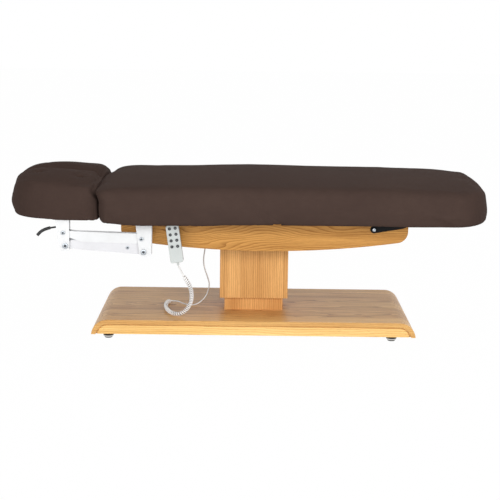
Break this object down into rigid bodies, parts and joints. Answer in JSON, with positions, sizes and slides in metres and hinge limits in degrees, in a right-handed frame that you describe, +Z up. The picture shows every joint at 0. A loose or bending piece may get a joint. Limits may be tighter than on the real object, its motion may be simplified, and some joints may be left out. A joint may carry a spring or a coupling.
{
  "type": "spa bed",
  "caption": "Treatment bed on a bent-edge oak base, with a lifting sleeve column, bowed beams, hinged padded sections, a headrest on parallel arms and a corded handset.",
  "frame": {"origin": "centre of the bounding box at the floor", "axes": "+X along the bed from the headrest to the foot end, +Z up, the handset side faces -Y"},
  "size_m": [1.88, 0.77, 0.6437],
  "materials": {
    "oak": "satin varnish",
    "foot_metal": "polished",
    "grey_steel": "drawn tube",
    "motor_plastic": "moulded",
    "black_steel": "powder coat",
    "bolt_steel": "zinc",
    "plywood": "dark stained",
    "leatherette": "soft grain leatherette over foam",
    "white_steel": "white powder coat",
    "lever_black": "black with a rubber grip",
    "handset_plastic": "fine texture",
    "button_rubber": "matt",
    "cord_rubber": "satin"
  },
  "bodies": {
    "base": {"base_top_panel": "oak", "base_aprons": "oak", "base_rails": "oak", "column_inner_sleeve": "oak", "lift_lower_column": "grey_steel", "lift_actuator_body": "motor_plastic"},
    "levelling_foot_front_head": {"levelling_foot_front_head": "foot_metal"},
    "levelling_foot_front_leg": {"levelling_foot_front_leg": "foot_metal"},
    "levelling_foot_rear_head": {"levelling_foot_rear_head": "foot_metal"},
    "levelling_foot_rear_leg": {"levelling_foot_rear_leg": "foot_metal"},
    "top": {"column_outer_sleeve": "oak", "lift_upper_column": "grey_steel", "lift_actuator_rod": "grey_steel", "front_beam": "oak", "rear_beam": "oak", "cross_rails": "black_steel", "seat_deck": "plywood", "mattress_seat": "leatherette", "mattress_back_fold": "leatherette", "mattress_leg_fold": "leatherette", "back_pivot_shaft": "bolt_steel", "control_box": "motor_plastic", "cord_gland": "motor_plastic", "back_actuator_body": "motor_plastic", "leg_actuator_body": "motor_plastic", "handset_hook": "motor_plastic", "handset_front_shell": "handset_plastic", "handset_rear_shell": "handset_plastic", "handset_strain_relief": "handset_plastic", "cord_upper_tail": "cord_rubber", "cord_coil": "cord_rubber", "cord_lower_tail": "cord_rubber"},
    "back": {"back_rails": "black_steel", "back_deck": "plywood", "mattress_back": "leatherette", "head_brackets": "white_steel", "bracket_pins": "bolt_steel"},
    "back_rod": {"back_actuator_rod": "grey_steel"},
    "leg": {"leg_deck": "plywood", "leg_hinge_plates": "black_steel", "leg_pivot_shaft": "bolt_steel", "mattress_legs": "leatherette"},
    "leg_rod": {"leg_actuator_rod": "grey_steel"},
    "head_upper": {"head_upper_links": "white_steel"},
    "head_lower": {"head_lower_links": "white_steel", "gas_spring_cylinder": "motor_plastic"},
    "gas_rod": {"gas_spring_rod": "grey_steel"},
    "head": {"head_carriers": "white_steel", "carrier_pins": "bolt_steel", "head_deck": "plywood", "headrest_pad": "leatherette"},
    "lever": {"release_lever": "lever_black"},
    "button_1": {"handset_button_1": "button_rubber"},
    "button_2": {"handset_button_2": "button_rubber"},
    "button_3": {"handset_button_3": "button_rubber"},
    "button_4": {"handset_button_4": "button_rubber"},
    "button_5": {"handset_button_5": "button_rubber"},
    "button_6": {"handset_button_6": "button_rubber"},
    "button_7": {"handset_button_7": "button_rubber"},
    "button_8": {"handset_button_8": "button_rubber"}
  },
  "joints": [
    {"name": "foot_turn_front_head", "type": "hinge", "parent": "base", "child": "levelling_foot_front_head", "pos_m": [-0.55, -0.237, 0], "axis": [0, 0, 1], "continuous": true},
    {"name": "foot_turn_front_leg", "type": "hinge", "parent": "base", "child": "levelling_foot_front_leg", "pos_m": [0.562, -0.237, 0], "axis": [0, 0, 1], "continuous": true},
    {"name": "foot_turn_rear_head", "type": "hinge", "parent": "base", "child": "levelling_foot_rear_head", "pos_m": [-0.55, 0.237, 0], "axis": [0, 0, 1], "continuous": true},
    {"name": "foot_turn_rear_leg", "type": "hinge", "parent": "base", "child": "levelling_foot_rear_leg", "pos_m": [0.562, 0.237, 0], "axis": [0, 0, 1], "continuous": true},
    {"name": "bed_lift", "type": "slide", "parent": "base", "child": "top", "axis": [0, 0, 1], "range_m": [0, 0.2]},
    {"name": "back_recline", "type": "hinge", "parent": "top", "child": "back", "pos_m": [0.097, 0, 0.449], "axis": [0, 1, 0], "range_deg": [0, 65], "deforming": ["mattress_back_fold"]},
    {"name": "back_push", "type": "slide", "parent": "top", "child": "back_rod", "axis": [-1, 0, 0], "range_m": [-0.0005, 0.083]},
    {"name": "leg_raise", "type": "hinge", "parent": "top", "child": "leg", "pos_m": [0.48, 0, 0.4415], "axis": [0, -1, 0], "range_deg": [0, 30], "deforming": ["mattress_leg_fold"]},
    {"name": "leg_push", "type": "slide", "parent": "top", "child": "leg_rod", "axis": [1, 0, 0], "range_m": [-0.0005, 0.031]},
    {"name": "head_raise", "type": "hinge", "parent": "back", "child": "head_upper", "pos_m": [-0.415, 0, 0.4025], "axis": [0, 1, 0], "range_deg": [-18, 1]},
    {"name": "head_lower_arm", "type": "hinge", "parent": "back", "child": "head_lower", "pos_m": [-0.407, 0, 0.3515], "axis": [0, 1, 0], "range_deg": [-18.5, 1.5]},
    {"name": "head_level", "type": "hinge", "parent": "head_upper", "child": "head", "pos_m": [-0.715, 0, 0.4235], "axis": [0, 1, 0], "range_deg": [-1.5, 18.5]},
    {"name": "gas_spring_slide", "type": "slide", "parent": "head_lower", "child": "gas_rod", "axis": [-0.9908, 0, 0.1351], "range_m": [-0.0086, 0.001]},
    {"name": "lever_squeeze", "type": "hinge", "parent": "head", "child": "lever", "pos_m": [-0.722, -0.27, 0.447], "axis": [0, 1, 0], "range_deg": [0, 6], "stiffness_Nm_per_rad": 3, "springref_deg": -2.86},
    {"name": "button_press_1", "type": "slide", "parent": "top", "child": "button_1", "axis": [0, 1, 0], "range_m": [0, 0.001], "stiffness_N_per_m": 700, "springref_m": -0.0003},
    {"name": "button_press_2", "type": "slide", "parent": "top", "child": "button_2", "axis": [0, 1, 0], "range_m": [0, 0.001], "stiffness_N_per_m": 700, "springref_m": -0.0003},
    {"name": "button_press_3", "type": "slide", "parent": "top", "child": "button_3", "axis": [0, 1, 0], "range_m": [0, 0.001], "stiffness_N_per_m": 700, "springref_m": -0.0003},
    {"name": "button_press_4", "type": "slide", "parent": "top", "child": "button_4", "axis": [0, 1, 0], "range_m": [0, 0.001], "stiffness_N_per_m": 700, "springref_m": -0.0003},
    {"name": "button_press_5", "type": "slide", "parent": "top", "child": "button_5", "axis": [0, 1, 0], "range_m": [0, 0.001], "stiffness_N_per_m": 700, "springref_m": -0.0003},
    {"name": "button_press_6", "type": "slide", "parent": "top", "child": "button_6", "axis": [0, 1, 0], "range_m": [0, 0.001], "stiffness_N_per_m": 700, "springref_m": -0.0003},
    {"name": "button_press_7", "type": "slide", "parent": "top", "child": "button_7", "axis": [0, 1, 0], "range_m": [0, 0.001], "stiffness_N_per_m": 700, "springref_m": -0.0003},
    {"name": "button_press_8", "type": "slide", "parent": "top", "child": "button_8", "axis": [0, 1, 0], "range_m": [0, 0.001], "stiffness_N_per_m": 700, "springref_m": -0.0003}
  ],
  "couplings": [
    {"joint": "back_push", "follows": "back_recline", "m_per_rad": 0.0712},
    {"joint": "leg_push", "follows": "leg_raise", "m_per_rad": 0.0573},
    {"joint": "head_lower_arm", "follows": "head_raise", "ratio": 1},
    {"joint": "head_level", "follows": "head_raise", "ratio": -1},
    {"joint": "gas_spring_slide", "follows": "head_raise", "m_per_rad": 0.0255}
  ]
}
